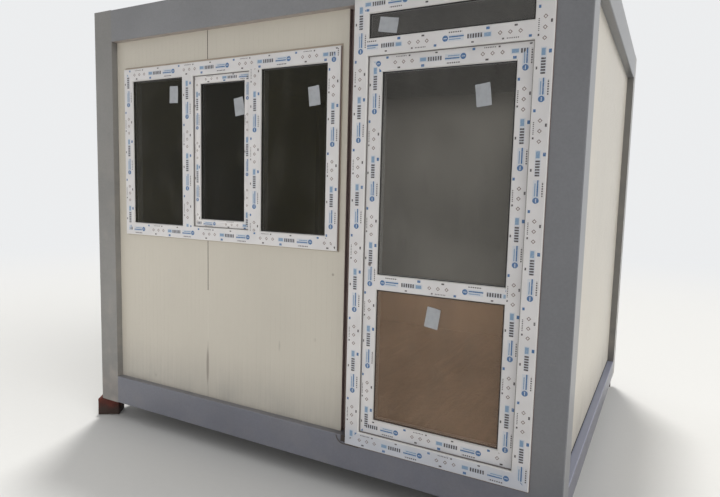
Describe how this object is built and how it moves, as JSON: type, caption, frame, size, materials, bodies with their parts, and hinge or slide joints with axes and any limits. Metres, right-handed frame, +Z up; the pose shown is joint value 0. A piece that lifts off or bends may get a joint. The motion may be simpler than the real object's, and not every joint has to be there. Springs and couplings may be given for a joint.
{
  "type": "security guard booth",
  "caption": "Flat-roofed guard booth: folded steel frame, sandwich panel walls, a three-light window and a glazed door that opens inwards, on corner blocks.",
  "frame": {"origin": "on the ground, in the middle of the booth's outline", "axes": "+X to the right along the front, +Y from the front wall into the booth, +Z up"},
  "size_m": [3.2464, 2.7374, 2.72],
  "materials": {
    "steel": "satin grey paint",
    "panel": "cream coated skins with fine ribs over a foam core",
    "pvc": "white window profile with a thin protective film",
    "glass": "dark sealed glass unit",
    "dark_trim": "dark brown channel",
    "zinc": "galvanised sheet",
    "board": "plain floor board",
    "ceiling": "white painted board",
    "brick": "rough fired clay"
  },
  "bodies": {
    "booth": {"front_floor_beam": "steel", "back_floor_beam": "steel", "left_floor_beam": "steel", "right_floor_beam": "steel", "front_left_post": "steel", "front_right_post": "steel", "back_left_post": "steel", "back_right_post": "steel", "front_roof_beam": "steel", "back_roof_beam": "steel", "left_roof_beam": "steel", "right_roof_beam": "steel", "floor_joists": "zinc", "floor_board": "board", "roof_purlins": "zinc", "ceiling_board": "ceiling", "roof_sheet": "zinc", "front_panel_left": "panel", "front_panel_right": "panel", "back_panel_left": "panel", "back_panel_middle": "panel", "back_panel_right": "panel", "left_panel_front": "panel", "left_panel_middle": "panel", "left_panel_back": "panel", "right_panel_front": "panel", "right_panel_middle": "panel", "right_panel_back": "panel", "window_frame": "pvc", "window_sash": "pvc", "left_glass": "glass", "sash_glass": "glass", "right_glass": "glass", "door_channel": "dark_trim", "door_frame": "pvc", "transom_glass": "glass", "frame_hinges": "pvc", "support_blocks": "brick"},
    "door": {"door_leaf": "pvc", "upper_door_glass": "glass", "lower_door_glass": "glass", "inside_knob": "pvc", "leaf_hinges": "pvc"}
  },
  "joints": [
    {"name": "door_swing", "type": "hinge", "parent": "booth", "child": "door", "pos_m": [1.3245, -1.272, 1.3], "axis": [0, 0, -1], "range_deg": [0, 90]}
  ]
}
